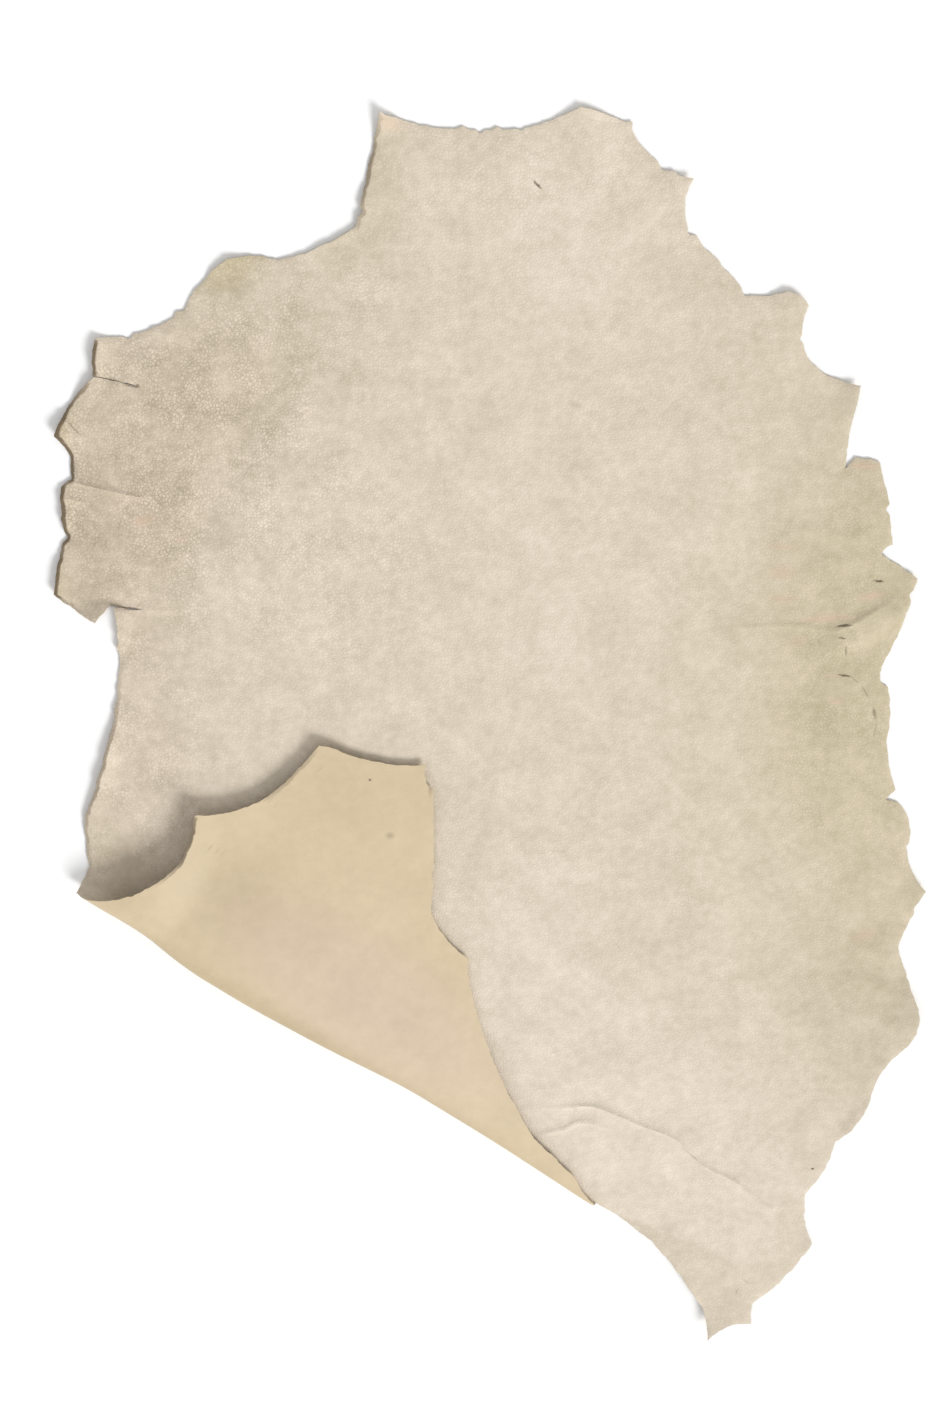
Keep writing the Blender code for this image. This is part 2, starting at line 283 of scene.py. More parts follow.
# Where the sheet stands off the table or, on the flap, off the body under it. Each
# swell is an oval, turned by its angle, that dies out to nothing at its rim.
Swell = namedtuple("Swell", "name layer x y length width turn height")
SWELLS = (
    Swell("neck tip curl", "body", -80, 428, 46, 40, 20, 7),
    Swell("neck point lift", "body", 52, 440, 90, 44, 0, 4),
    Swell("cheek lift", "body", 128, 392, 60, 50, 0, 4),
    Swell("shoulder lift", "body", 196, 322, 70, 52, 0, 4),
    Swell("foreleg curl", "body", 240, 250, 80, 54, -60, 5),
    Swell("chest lobe lift", "body", 284, 142, 76, 50, 70, 4),
    Swell("right side wrinkle", "body", 244, 102, 120, 30, 28, 2.5),
    Swell("flank point lift", "body", 298, -80, 70, 50, 90, 4),
    Swell("thigh wave", "body", 300, -172, 76, 62, 80, 5),
    Swell("hind leg lift", "body", 262, -268, 80, 52, 50, 4),
    Swell("rump wave", "body", 238, -350, 80, 50, 75, 4),
    Swell("tail curl", "body", 168, -440, 80, 50, 0, 5),
    Swell("left flank lift", "body", -272, 20, 150, 52, 82, 7),
    Swell("slit lip lift", "body", -262, 96, 50, 44, 0, 8),
    Swell("left lobe lift", "body", -300, 130, 80, 54, 80, 8),
    Swell("left waist wave", "body", -292, 178, 56, 46, 90, 7),
    Swell("left foreleg curl", "body", -292, 226, 62, 50, 60, 8),
    Swell("shoulder tab lift", "body", -266, 278, 60, 50, 90, 8),
    Swell("shoulder point lift", "body", -178, 348, 70, 46, 20, 5),
    Swell("neck root wave", "body", -104, 362, 90, 40, 30, 4),
    Swell("open side of the flap", "flap", -236, -64, 150, 90, 55, 7),
    Swell("flap tip lift", "flap", -112, 34, 90, 56, 0, 1),
    Swell("flap crown", "flap", -120, -110, 210, 90, -34, 2),
)

# Creases that stand up along a line: how wide and high each is, and where it runs.
Crease = namedtuple("Crease", "name layer width height path")
CREASES = (
    Crease("crease across the rump", "body", 1.8, 1.5,
           ((13, -248), (44, -248), (67, -247), (97, -260), (126, -273), (144, -292),
            (170, -307), (192, -326), (215, -324))),
    Crease("crease under it", "body", 1.6, 1.1, ((27, -269), (46, -265), (60, -259), (85, -267))),
    Crease("curled rim of the tail", "body", 7.0, 2.4, ((86, -338), (110, -361), (131, -386), (141, -408))),
    Crease("crease at the tail", "body", 4.0, 0.9, ((118, -338), (146, -362), (168, -390))),
    Crease("right side crease", "body", 1.8, 1.0,
           ((140, 99), (193, 101), (216, 98), (230, 102), (245, 111), (262, 122))),
    Crease("chest pull, upper", "body", 6.0, 1.0, ((184, 168), (214, 163), (243, 158))),
    Crease("chest pull, lower", "body", 6.0, 0.9, ((196, 140), (228, 143), (256, 150))),
    Crease("thigh pull, upper", "body", 5.0, 1.0, ((240, -124), (258, -130), (275, -138))),
    Crease("thigh pull, middle", "body", 5.0, 1.1, ((236, -146), (258, -154), (284, -168))),
    Crease("thigh pull, lower", "body", 5.0, 0.9, ((234, -172), (256, -179), (282, -191))),
    Crease("foreleg curl crease", "body", 1.8, 1.5, ((-280, 242), (-271, 233), (-266, 221))),
    Crease("foreleg curl crease, inner", "body", 1.6, 0.9, ((-275, 243), (-262, 234), (-254, 224))),
    Crease("left chest crease", "body", 2.0, 1.7, ((-278, 198), (-249, 191), (-220, 185))),
    Crease("left chest crease, short", "body", 1.6, 1.2, ((-284, 187), (-263, 183))),
    Crease("left shoulder nick crease", "body", 1.6, 0.8, ((-220, 294), (-204, 290))),
    Crease("left pull, top", "body", 9.0, 1.2, ((-244, 274), (-206, 268), (-168, 262))),
    Crease("left pull, second", "body", 9.0, 1.3, ((-258, 246), (-212, 240), (-162, 228))),
    Crease("left pull, third", "body", 9.0, 1.3, ((-268, 214), (-228, 196), (-188, 172))),
    Crease("left pull, fourth", "body", 9.0, 1.3, ((-280, 156), (-244, 148), (-204, 138))),
    Crease("left pull, lowest", "body", 9.0, 1.1, ((-264, 126), (-230, 122), (-192, 118))),
    Crease("slit crease", "body", 2.0, 1.0, ((-240, 113), (-228, 112), (-212, 110))),
    Crease("flap bend, upper", "flap", 14.0, 0.9, ((-150, -40), (-100, -70), (-60, -110))),
    Crease("flap bend, lower", "flap", 16.0, 0.9, ((-190, -90), (-120, -140), (-50, -200), (0, -250))),
)
CREASE_PATH_STEPS = 8
CREASE_FADE = 0.25
# Creases finer than this are pointed along the top, and the net follows them closely.
FINE_CREASE = 3.0
CREASE_PITCH = 1.7
CREASE_ROWS = (-2.7, -1.2, 0.0, 1.2, 2.7)
# The skin never lies quite flat: how high its slow waves are, and how long.
WAVES = ((0.55, 90.0), (0.25, 34.0))

# Slits whose lower lip lies over the upper one: each runs left from its end at x, y down
# its slope to its mouth. Over the length, the lip rises to its height and laps over.
Lip = namedtuple("Lip", "name x y slope mouth length depth height lap")
LIPS = (
    Lip("left slit", -232, 112.0, 0.0, -251.5, 18, 16, 3.0, 3.6),
    Lip("foreleg slit", -229, 258.6, -0.18, -400.0, 26, 14, 2.0, 3.6),
)

# Where the skin's tone changes: ovals, each with how dark, how yellow and how green it makes the leather,
# how much the nap stands up there, and how much painted shade it puts on the cut rim. Some rows paint light
# and shade rather than the leather's own tone, as the comments above them say.
Shade = namedtuple("Shade", "name layer x y length width turn depth yellow green nap rim")
SHADES = (
    Shade("left shoulder", "body", -225, 235, 300, 240, 0, 0.74, 0, -0.9, 0.60, 0),
    Shade("left waist", "body", -255, 142, 210, 190, 80, 0.80, 0, -0.9, 0.50, 0),
    Shade("left flank", "body", -245, 10, 260, 190, 80, 0.35, 0, -0.8, 0.45, 0),
    Shade("upper left", "body", -140, 300, 260, 200, 30, 0.35, 0, -0.3, 0.35, 0),
    Shade("left of the middle", "body", -130, 150, 260, 260, 0, 0, 0, 0, 0.35, 0),
    Shade("right chest", "body", 240, 130, 320, 230, 80, 0.68, 0, 0, 0.10, 0),
    Shade("right flank", "body", 230, 10, 220, 170, 80, 0.48, 0, 0, 0.10, 0),
    Shade("right thigh", "body", 262, -140, 330, 180, 85, 0.62, 0, 0, 0, 0),
    Shade("right shoulder", "body", 190, 270, 260, 180, -40, 0.25, 0, 0, 0, 0),
    Shade("right side", "body", 250, 40, 620, 360, 90, 0.18, 1.0, 0.1, 0, 0),
    Shade("neck", "body", 10, 400, 320, 120, 0, 0.05, 0, 0, 0.15, 0),
    # Painted shade on the curled rim at the neck's left side.
    Shade("neck, left side", "body", -92, 385, 150, 90, 80, 0.55, 0.2, 0, 0, 0),
    Shade("neck, pale right side", "body", 40, 350, 240, 130, 90, -0.28, 0, 0, 0, 0),
    # Painted shade on curled rims: the shoulder point, the foreleg and the lobe.
    Shade("shoulder point", "body", -168, 338, 90, 60, 40, 0.90, 0.8, 0, 0, 0),
    Shade("foreleg rim", "body", -286, 232, 80, 44, 80, 0.70, 0.5, 0, 0, 0),
    Shade("lobe rim", "body", -292, 128, 60, 44, 80, 0.55, 0, 0, 0, 0),
    Shade("pale rump", "body", 95, -270, 420, 280, -40, -0.48, 0, 0, 0, 0),
    # Painted light, lifting the shade beside the flap's right edge.
    Shade("pale side of the flap", "body", 25, -120, 220, 150, 90, -0.30, 0, 0, 0, 0),
    Shade("pale back", "body", 30, 110, 330, 160, 90, -0.18, 0, 0, 0, 0),
    # Painted shadow that the flap's raised left side casts on the body.
    Shade("flap's own shade", "body", -262, -58, 110, 80, -40, 0.55, 0, 0, 0, 0),
    # Painted shade that tones down the flap's raised left side and top, which tilt towards the light.
    Shade("open side of the flap", "flap", -200, -70, 190, 170, 0, 0.70, 0, 0, 0, 0),
    Shade("top of the flap", "flap", -110, 0, 200, 130, 0, 0.65, 0, 0, 0, 0),
    # Painted sheen: the flap's middle and lower part are less yellow and green where they catch the light;
    # the middle also takes a faint painted shade.
    Shade("middle of the flap", "flap", -90, -110, 260, 200, -40, 0.12, -0.2, -0.5, 0, 0),
    Shade("lower flap", "flap", -85, -172, 380, 130, -36, -0.05, -1.0, -1.0, 0, 0),
    # Painted shade where the flap turns down into the fold.
    Shade("along the fold", "flap", -106, -209, 520, 34, -34.4, 1.10, 0.5, 0, 0, 0),
    # Painted shade on the cut rim, where it curls down out of the light: the rim column of these rows.
    Shade("left rim, upper", "body", -262, 250, 130, 110, 80, 0, 0, 0, 0, 2.0),
    Shade("left rim, chest", "body", -282, 180, 90, 70, 90, 0, 0, 0, 0, 2.0),
    Shade("left rim, lobe", "body", -284, 126, 60, 60, 90, 0, 0, 0, 0, 2.0),
    Shade("left rim, flank", "body", -262, 0, 200, 70, 82, 0, 0, 0, 0, 0.7),
    Shade("neck rim, left", "body", -80, 390, 110, 60, 80, 0, 0, 0, 0, 0.7),
    Shade("flap rim, upper left", "flap", -160, -10, 150, 60, 30, 0, 0, 0, 0, 0.9),
    Shade("flap rim, left", "flap", -214, -55, 90, 70, 60, 0, 0, 0, 0, 1.2),
)
# The painted shade on the rim reaches this far in, where the cut faces left, out of the light.
RIM_WIDTH = 2.6
RIM_SHARPNESS = 1.0
FACES_LEFT = (0.45, 0.85)


def fold_directions():
    """Unit vectors along the fold and, square to it, over the body."""
    along = (FOLD_RIGHT - FOLD_LEFT).normalized()
    return along, Vector((-along.y, along.x))


def to_fold(x, y):
    """How far along the fold a point is, and how far in over the body."""
    along, inward = fold_directions()
    dx, dy = x - FOLD_LEFT.x, y - FOLD_LEFT.y
    return dx * along.x + dy * along.y, dx * inward.x + dy * inward.y


def from_fold(distance, inset):
    along, inward = fold_directions()
    return (FOLD_LEFT.x + distance * along.x + inset * inward.x,
            FOLD_LEFT.y + distance * along.y + inset * inward.y)


def fold_value(column, distance):
    """One column of the fold's table at a distance along it, eased at its rows."""
    places = [row.along for row in FOLD]
    values = [getattr(row, column) for row in FOLD]
    near = [np.interp(distance + shift, places, values) for shift in FOLD_SPREAD]
    return sum(near) / len(near)


def folded_over(x, y):
    """True for the places of the flat skin that the fold turns over."""
    distance, inset = to_fold(x, y)
    return inset < fold_value("start", distance)


def unfold(x, y):
    """The flat cut place of a point that is seen lying on the folded flap."""
    distance, inset = to_fold(x, y)
    radius, start = fold_value("radius", distance), fold_value("start", distance)
    if inset < start:
        back = min(1.0, (start - inset) / radius)
        rolled = radius * (math.pi - math.asin(back))
    else:
        rolled = math.pi * radius + inset - start
    return from_fold(distance, start - rolled)


def stretch_points(row, corner):
    """Points of one stretch of edge, from its own corner up to the next one."""
    begin, end = Vector((row.x, row.y)), Vector((corner.x, corner.y))
    span = end - begin
    outward = Vector((-span.y, span.x)).normalized()
    steps = max(1, round(span.length / EDGE_STEP))
    for step in range(steps):
        part = step / steps
        place = begin + span * part
        swell = 4.0 * part * (1.0 - part)
        wander = sum(height * noise.noise(Vector((place.x, place.y, 0.0)) / length)
                     for height, length in EDGE_WANDER)
        yield place + outward * (row.bow * swell + wander * math.sqrt(swell))


def edge_points(rows, next_corner):
    corners = list(rows[1:]) + [next_corner]
    return [point for row, corner in zip(rows, corners)
            for point in stretch_points(row, corner)]


def nibble(edge):
    """The same stretch of edge with its nicks bitten out and its crumbs added."""
    nibbled = []
    for before, point, after in zip([edge[0]] + edge, edge, edge[1:] + [edge[-1]]):
        span = after - before
        outward = Vector((-span.y, span.x)).normalized()
        push = sum(nick.depth * max(0.0, 1.0 - 2.0 * math.hypot(point.x - nick.x, point.y - nick.y)
                                    / nick.width) for nick in NICKS)
        nibbled.append(point + outward * push)
    return nibbled


def cut_outline():
    """The closed cut edge of the flat skin, before it is folded."""
    right = nibble(edge_points(BODY_EDGE, FLAP_EDGE[0]))
    flap = [Vector(unfold(point.x, point.y))
            for point in nibble(edge_points(FLAP_EDGE, LEFT_EDGE[0]))]
    left = nibble(edge_points(LEFT_EDGE, BODY_EDGE[0]))
    roll = fold_value("radius", 0.0)
    corner = Vector(from_fold(0.0, roll * (1.0 - math.pi / 2.0)))
    return right + flap + [corner] + left[1:]


def inside(outline, x, y):
    """Which of the places lie inside the outline, by counting crossings."""
    count = np.zeros(len(x), dtype=bool)
    for a, b in zip(outline, outline[1:] + outline[:1]):
        if a.y == b.y:
            continue
        spans = (a.y > y) != (b.y > y)
        crossing = a.x + (y - a.y) * (b.x - a.x) / (b.y - a.y)
        count ^= spans & (x < crossing)
    return count


def nearest(places, points):
    """For each place, which of some points is nearest, and how far away it is."""
    tree = kdtree.KDTree(len(points))
    for index, (x, y) in enumerate(points):
        tree.insert((x, y, 0.0), index)
    tree.balance()
    found = [tree.find((x, y, 0.0)) for x, y in places]
    return [index for _, index, _ in found], np.array([away for _, _, away in found])


def how_far(places, points):
    """How far each place is from the nearest of some points."""
    return nearest(places, points)[1]


def beside(path, offset):
    """Places a set distance to the left of each point of a path."""
    path = np.array(path, dtype=float)
    ahead = np.gradient(path, axis=0)
    ahead /= np.maximum(1e-6, np.hypot(*ahead.T))[:, None]
    return path + offset * np.stack((-ahead[:, 1], ahead[:, 0]), axis=1)


def faces_left(outline):
    """How squarely each point of the cut edge, once it is laid, faces to the left."""
    x, y = np.array(outline).T
    laid_x, laid_y, _ = lay(x, y)
    path = np.stack((laid_x, laid_y), axis=1)
    path = sum(np.roll(path, shift, axis=0) for shift in range(-4, 5)) / 9.0
    outward = (beside(path, 1.0) - path)[:, 0]
    return np.interp(np.where(folded_over(x, y), outward, -outward), FACES_LEFT, (0.0, 1.0))


def crease_rows():
    """Rows of places, on the flat skin, that follow each fine crease closely."""
    rows = []
    for crease in CREASES:
        if crease.width < FINE_CREASE:
            path = smooth_path(crease.path)
            run = np.concatenate(([0.0], np.cumsum(np.hypot(*np.diff(path, axis=0).T))))
            steps = np.arange(0.0, run[-1], CREASE_PITCH)
            path = np.stack([np.interp(steps, run, column) for column in path.T], axis=1)
            rows += [beside(path, offset) for offset in CREASE_ROWS]
    return np.concatenate(rows)


def net_points(outline):
    """Places inside the edge: an even net, and rows along the edge, creases and roll."""
    low_x, high_x = min(p.x for p in outline), max(p.x for p in outline)
    low_y, high_y = min(p.y for p in outline), max(p.y for p in outline)
    rows = np.arange(low_y, high_y, NET_PITCH * math.sqrt(0.75))
    columns = np.arange(low_x, high_x, NET_PITCH)
    x, y = np.meshgrid(columns, rows)
    x[1::2] += NET_PITCH / 2.0
    x, y = x.ravel(), y.ravel()
    distance, inset = to_fold(x, y)
    radius, start = fold_value("radius", distance), fold_value("start", distance)
    roll_end = start - math.pi * radius
    on_roll = (inset > roll_end - 2.0 * ROLL_MARGIN) & (inset < start + 2.0 * ROLL_MARGIN)
    on_roll &= distance < FOLD_END + ROLL_MARGIN
    even = np.stack((x[~on_roll], y[~on_roll]), axis=1)
    creases = crease_rows()
    edge_row = beside(outline, -EDGE_ROW)
    edge_row = edge_row[how_far(edge_row, outline) > 0.85 * EDGE_ROW]
    net = [creases[how_far(creases, edge_row) > NET_TO_ROWS], edge_row]
    net.append(even[how_far(even, np.concatenate((creases, edge_row))) > NET_TO_ROWS])
    for distance in np.arange(FOLD_START, FOLD_END, ROLL_ROW_PITCH):
        radius, start = fold_value("radius", distance), fold_value("start", distance)
        turns = np.linspace(0.0, math.pi * radius, ROLL_STEPS + 1)
        turns = np.concatenate(([-ROLL_MARGIN], turns, [turns[-1] + ROLL_MARGIN]))
        row = np.stack(from_fold(distance, start - turns), axis=1)
        net.append(row[how_far(row, edge_row) > 0.5 * EDGE_ROW])
    net = np.concatenate(net)
    net = net[inside(outline, *net.T)]
    return net[how_far(net, outline) > 0.8 * EDGE_ROW]


def oval(row, x, y):
    """One at the middle of a table's oval, easing to nothing at its rim."""
    turn = math.radians(row.turn)
    dx, dy = x - row.x, y - row.y
    along = (dx * math.cos(turn) + dy * math.sin(turn)) / (row.length / 2.0)
    across = (dy * math.cos(turn) - dx * math.sin(turn)) / (row.width / 2.0)
    return np.maximum(0.0, 1.0 - along ** 2 - across ** 2) ** 2


def smooth_path(corners):
    """A curve through the corners of a given path."""
    ends = [corners[0], *corners, corners[-1]]
    corners = np.array(ends, dtype=float)
    part = np.linspace(0.0, 1.0, CREASE_PATH_STEPS, endpoint=False)[:, None]
    curve = []
    for a, b, c, d in zip(corners, corners[1:], corners[2:], corners[3:]):
        curve.append(0.5 * (2.0 * b + (c - a) * part + (2.0 * a - 5.0 * b + 4.0 * c - d) * part ** 2
                            + (3.0 * b - a - 3.0 * c + d) * part ** 3))
    curve.append(corners[-1:])
    return np.concatenate(curve)


def crease_height(row, x, y):
    """How far one crease lifts the sheet at each place."""
    path = smooth_path(row.path)
    height = np.zeros(len(x))
    reach = 3.0 * row.width
    close = ((x > path[:, 0].min() - reach) & (x < path[:, 0].max() + reach)
             & (y > path[:, 1].min() - reach) & (y < path[:, 1].max() + reach))
    near = np.full(close.sum(), np.inf)
    share = np.zeros(close.sum())
    for index, (a, b) in enumerate(zip(path, path[1:])):
        span = b - a
        dx, dy = x[close] - a[0], y[close] - a[1]
        part = np.clip((dx * span[0] + dy * span[1]) / (span @ span), 0.0, 1.0)
        away = np.hypot(dx - part * span[0], dy - part * span[1])
        share = np.where(away < near, (index + part) / (len(path) - 1), share)
        near = np.minimum(near, away)
    fade = np.clip(np.minimum(share, 1.0 - share) / CREASE_FADE, 0.0, 1.0)
    fade = fade * fade * (3.0 - 2.0 * fade)
    point = 1.2 if row.width < FINE_CREASE else 2.0
    height[close] = row.height * fade * np.exp(-(near / row.width) ** point)
    return height


def waves(x, y):
    """The slow waves of a skin that never lies quite flat, never below nothing."""
    height = np.zeros(len(x))
    for rise, length in WAVES:
        lift = [noise.noise(Vector((a, b, rise)) / length) for a, b in zip(x, y)]
        height += rise * (0.5 + 0.5 * np.array(lift))
    return height


def lip_share(lip, x, y):
    """One at the raised edge of a slit's lower lip, easing to nothing away from it."""
    rise = np.clip((lip.x - x) / lip.length, 0.0, 1.0)
    below = lip.y + (x - lip.x) * lip.slope - y
    return rise * (below > 0.0) * (x > lip.mouth) * np.exp(-(below / lip.depth) ** 2)


def relief(layer, x, y):
    """How far the swells, creases and waves of one layer lift the sheet."""
    height = waves(x, y)
    for swell in SWELLS:
        if swell.layer == layer:
            height += swell.height * oval(swell, x, y)
    for crease in CREASES:
        if crease.layer == layer:
            height += crease_height(crease, x, y)
    if layer == "body":
        height += sum(lip.height * lip_share(lip, x, y) for lip in LIPS)
    return height


def lay(x, y):
    """Where the places of the flat skin end up once the corner is folded over."""
    distance, inset = to_fold(x, y)
    radius, start = fold_value("radius", distance), fold_value("start", distance)
    rolled = start - inset
    turn = np.clip(rolled / radius, 0.0, math.pi)
    beyond = np.maximum(0.0, rolled - math.pi * radius)
    inset = np.where(rolled <= 0.0, inset, start - radius * np.sin(turn) + beyond)
    laid_x, laid_y = from_fold(distance, inset)
    settled = np.minimum(1.0, beyond / FLAP_SETTLES_OVER)
    settled = settled * settled * (3.0 - 2.0 * settled)
    flap_height = fold_value("flap_height", distance)
    height = radius * (1.0 - np.cos(turn)) + (flap_height - 2.0 * radius) * settled
    share = turn / math.pi
    height += (1.0 - share) * relief("body", laid_x, laid_y)
    height += share * relief("flap", laid_x, laid_y)
    laid_y = laid_y + sum(lip.lap * lip_share(lip, laid_x, laid_y) for lip in LIPS)
    return laid_x, laid_y, height


def cut_and_lay_skin():
    """The skin as a thin mesh that lies where its grain side does."""
    outline = cut_outline()
    places = outline + [Vector(place) for place in net_points(outline)]
    edges = [(index, (index + 1) % len(outline)) for index in range(len(outline))]
    inside_only = 1
    flat, _, faces, *_ = delaunay_2d_cdt(places, edges, [], inside_only, MERGE_DISTANCE)
    x, y = np.array([(place.x, place.y) for place in flat]).T
    laid_x, laid_y, height = lay(x, y)
    points = np.stack((laid_x - LAID_MIDDLE[0], laid_y - LAID_MIDDLE[1], height), axis=1)
    mesh = bpy.data.meshes.new("goatskin_leather")
    mesh.from_pydata((points * MM).tolist(), [], faces)
    edge_point, from_edge = nearest(zip(x, y), outline)
    on_flap = folded_over(x, y)
    tones = np.zeros((5, len(x)))
    for row in SHADES:
        here = oval(row, laid_x, laid_y) * (on_flap == (row.layer == "flap"))
        tones += np.outer((row.depth, row.yellow, row.green, row.nap, row.rim), here)
    rim_shade = np.minimum(1.0, tones[4]) * faces_left(outline)[edge_point]
    for name, values in (("shade", tones[0]), ("rim_shade", rim_shade), ("from_edge", from_edge)):
        mesh.attributes.new(name, "FLOAT", "POINT").data.foreach_set("value", values)
    tint = np.ascontiguousarray(tones[1:4].T).ravel()
    mesh.attributes.new("tint", "FLOAT_VECTOR", "POINT").data.foreach_set("vector", tint)
    skin = bpy.data.objects.new("goatskin_leather", mesh)
    thick = skin.vertex_groups.new(name="leather_thickness")
    thinned = (1.0 - EDGE_THINNING) * np.exp(-from_edge / THINS_OVER)
    thinned += EDGE_ROUNDING * np.exp(-(from_edge / ROUNDS_OVER) ** 2)
    for index, lost in enumerate(thinned.tolist()):
        thick.add([index], 1.0 - lost, "REPLACE")
    bpy.context.scene.collection.objects.link(skin)
    return skin


def give_thickness(skin):
    leather = skin.modifiers.new("Leather", "SOLIDIFY")
    leather.thickness = SKIN_THICKNESS * MM
    leather.offset = 1.0
    leather.use_even_offset = True
    leather.vertex_group = "leather_thickness"
    leather.material_offset = 1
    leather.material_offset_rim = 2
    ready = skin.evaluated_get(bpy.context.evaluated_depsgraph_get())
    thin = skin.data
    skin.data = bpy.data.meshes.new_from_object(ready)
    skin.modifiers.clear()
    bpy.data.meshes.remove(thin)
    skin.data.name = "goatskin_leather"
    skin.data.shade_smooth()
    skin.data.set_sharp_from_angle(angle=SHARP_FROM)


def add_node(tree, kind, inputs=None, **settings):
    """One shader node, with its settings, and its inputs' values or links."""
    node = tree.nodes.new(kind)
    for setting, value in settings.items():
        setattr(node, setting, value)
    for socket, value in (inputs or {}).items():
        if isinstance(value, bpy.types.NodeSocket):
            tree.links.new(value, node.inputs[socket])
        else:
            node.inputs[socket].default_value = value
    return node


def new_group(name, inputs, outputs):
    """An empty node group: its inputs as (name, kind, value), its outputs as (name, kind)."""
    group = bpy.data.node_groups.new(name, "ShaderNodeTree")
    for socket, kind, value in inputs:
        item = group.interface.new_socket(name=socket, in_out="INPUT", socket_type=kind)
        item.default_value = value
    for socket, kind in outputs:
        group.interface.new_socket(name=socket, in_out="OUTPUT", socket_type=kind)
    return group, group.nodes.new("NodeGroupInput"), group.nodes.new("NodeGroupOutput")


def use_group(tree, group, inputs):
    node = tree.nodes.new("ShaderNodeGroup")
    node.node_tree = group
    for socket, value in inputs.items():
        if isinstance(value, bpy.types.NodeSocket):
            tree.links.new(value, node.inputs[socket])
        else:
            node.inputs[socket].default_value = value
    return node


def calculate(tree, operation, first, second=0.0, third=0.0, clamp=False):
    inputs = {0: first, 1: second, 2: third}
    return add_node(tree, "ShaderNodeMath", inputs, operation=operation, use_clamp=clamp).outputs[0]


def remap(tree, value, low, high, to_low=0.0, to_high=1.0):
    inputs = {"Value": value, "From Min": low, "From Max": high, "To Min": to_low, "To Max": to_high}
    return add_node(tree, "ShaderNodeMapRange", inputs, clamp=True).outputs["Result"]


def mix_colours(tree, share, first, second, way="MIX"):
    node = add_node(tree, "ShaderNodeMix", {0: share, 6: first, 7: second}, data_type="RGBA",
                    blend_type=way, clamp_factor=False)
    return node.outputs[2]


def vector_maths(tree, operation, first, second, third=(0.0, 0.0, 0.0)):
    inputs = {0: first, 1: second, 2: third}
    return add_node(tree, "ShaderNodeVectorMath", inputs, operation=operation).outputs[0]


def object_place(tree):
    return tree.nodes.new("ShaderNodeTexCoord").outputs["Object"]


def noise_value(tree, place, scale, detail=2.0, roughness=0.5):
    inputs = {"Vector": place, "Scale": scale, "Detail": detail, "Roughness": roughness}
    return add_node(tree, "ShaderNodeTexNoise", inputs).outputs["Fac"]


# The leather's colours on either side, plain and at their darkest, which also serves as painted shade;
# those of its raw rim, and the painted shade of the rim's curled-down part; and the stains, and the small
# marks, some of which are painted shade.
NAP_COLOUR = (0.642, 0.560, 0.449, 1.0)
NAP_DARK_TONE_AND_SHADE = (0.512, 0.444, 0.325, 1.0)
GRAIN_COLOUR = (0.620, 0.505, 0.335, 1.0)
GRAIN_DARK_TONE_AND_SHADE = (0.510, 0.410, 0.265, 1.0)
RAW_COLOUR = (0.52, 0.43, 0.31)
CURLED_RIM_PAINTED_SHADE = (0.115, 0.080, 0.045, 1.0)
STAIN_COLOUR = (0.62, 0.45, 0.335, 1.0)
NAP_MARK_AND_SHADE_COLOUR = (0.085, 0.055, 0.035, 1.0)
GRAIN_MARK_COLOUR = (0.16, 0.11, 0.07, 1.0)
# What one whole step of yellow or of green adds to a colour, and how a speck of light
# or shade that has no colour of its own shows on pale leather.
YELLOWER = (0.0070, 0.0032, -0.0216)
GREENER = (-0.0049, 0.0082, -0.0038)
COLOURLESS = (1.0, 0.90, 0.77)
# How far a small mark's rim strays, how far the nap's curls are bent, and how deep the
# nap, the grain's pores and the raw rim's fibres are, all in metres.
MARK_RAGGEDNESS = 0.0016
CURL_BEND = 0.0026
NAP_DEPTH = 0.00035
PORE_DEPTH = 0.0001
FIBRE_DEPTH = 0.0003


def leather_tone(tree, cloud, cloudiness, plain, shaded):
    """The leather's colour at each place of the skin, with the shade table's painted shade and light in it,
    and how much the nap stands up.
    """
    shade = add_node(tree, "ShaderNodeAttribute", attribute_name="shade").outputs["Fac"]
    shade = calculate(tree, "MULTIPLY_ADD", cloud, -cloudiness, shade)
    tint = add_node(tree, "ShaderNodeAttribute", attribute_name="tint").outputs["Vector"]
    yellow, green, nap = add_node(tree, "ShaderNodeSeparateXYZ", {0: tint}).outputs
    tone = mix_colours(tree, shade, plain, shaded)
    tone = vector_maths(tree, "MULTIPLY_ADD", yellow, YELLOWER, tone)
    return vector_maths(tree, "MULTIPLY_ADD", green, GREENER, tone), nap


def shade_the_rim(tree, colour):
    """Painted shade: the cut rim's colour darkens where it curls down out of the light."""
    rim = add_node(tree, "ShaderNodeAttribute", attribute_name="rim_shade").outputs["Fac"]
    away = add_node(tree, "ShaderNodeAttribute", attribute_name="from_edge").outputs["Fac"]
    ragged = noise_value(tree, object_place(tree), 140.0, 3.0)
    away = calculate(tree, "MULTIPLY_ADD", ragged, 3.0, calculate(tree, "SUBTRACT", away, 1.5))
    close = remap(tree, away, RIM_WIDTH, RIM_WIDTH - RIM_SHARPNESS)
    dark = calculate(tree, "MULTIPLY", rim, calculate(tree, "MULTIPLY", close, 0.9))
    return mix_colours(tree, dark, colour, CURLED_RIM_PAINTED_SHADE)


def mottling_group():
    """Uneven dye: cloudy patches of two sizes, in metres, about nothing."""
    inputs = (("Patch", "NodeSocketFloat", 0.03), ("Fleck", "NodeSocketFloat", 0.008))
    group, given, result = new_group("uneven_dye", inputs, (("Value", "NodeSocketFloat"),))
    place = object_place(group)
    clouds = []
    for size in ("Patch", "Fleck"):
        scale = calculate(group, "DIVIDE", 1.0, given.outputs[size])
        cloud = noise_value(group, place, scale, 3.0, 0.55)
        clouds.append(calculate(group, "SUBTRACT", cloud, 0.5))
    both = calculate(group, "ADD", clouds[0], clouds[1])
    group.links.new(both, result.inputs["Value"])
    return group


